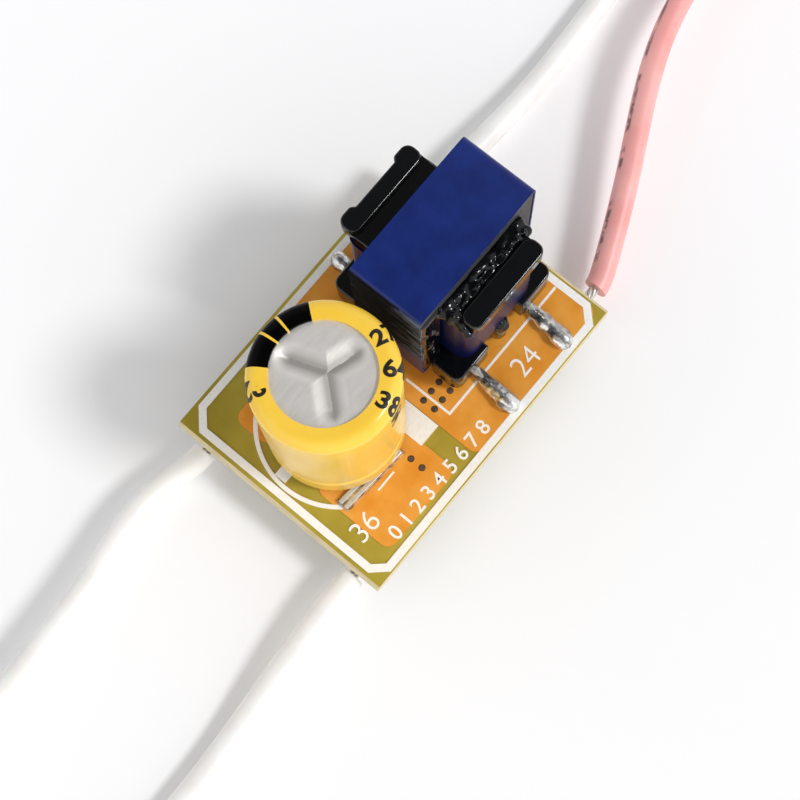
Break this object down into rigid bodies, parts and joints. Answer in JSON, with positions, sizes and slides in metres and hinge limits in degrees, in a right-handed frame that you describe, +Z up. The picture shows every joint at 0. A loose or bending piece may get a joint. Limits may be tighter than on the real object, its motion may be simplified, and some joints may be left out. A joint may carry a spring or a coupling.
{
  "type": "led driver",
  "caption": "Bare LED driver board with a sleeved electrolytic capacitor, a taped inductor, flat parts underneath and leads soldered at both ends.",
  "frame": {"origin": "bottom centre of the board assembly without its leads, on the surface that it stands on", "axes": "+X along the board towards the output leads, +Y towards the board's rear long edge, +Z up"},
  "size_m": [0.134, 0.0162, 0.016],
  "materials": {
    "board": "gloss",
    "copper": "gloss",
    "tinned": "satin",
    "can": "satin",
    "sleeve": "gloss",
    "bung": "matt",
    "solder": "gloss",
    "ferrite": "matt",
    "bobbin": "gloss",
    "winding": "gloss",
    "tape": "satin",
    "package": "matt",
    "resistor": "gloss",
    "ceramic": "matt",
    "lead_white": "satin",
    "lead_red": "satin"
  },
  "bodies": {
    "root": {"circuit_board": "board", "top_copper": "copper", "bottom_copper": "tinned", "capacitor_can": "can", "capacitor_sleeve": "sleeve", "capacitor_bung": "bung", "capacitor_leads": "tinned", "capacitor_solder": "solder", "core_upper": "ferrite", "core_lower": "ferrite", "core_tape": "tape", "bobbin": "bobbin", "winding": "winding", "winding_tape": "tape", "transformer_pins": "tinned", "pin_solder": "solder", "bridge_body": "package", "bridge_leads": "tinned", "driver_ic_body": "package", "driver_ic_leads": "tinned", "diode_bodies": "package", "diode_leads": "tinned", "chip_resistors": "resistor", "resistor_terminals": "tinned", "ceramic_capacitors": "ceramic", "ceramic_terminals": "tinned", "lead_solder": "solder", "lead_conductors": "tinned", "ac_lead_a": "lead_white", "ac_lead_b": "lead_white", "led_lead_positive": "lead_red", "led_lead_negative": "lead_white", "lead_tips": "tinned"}
  },
  "joints": []
}
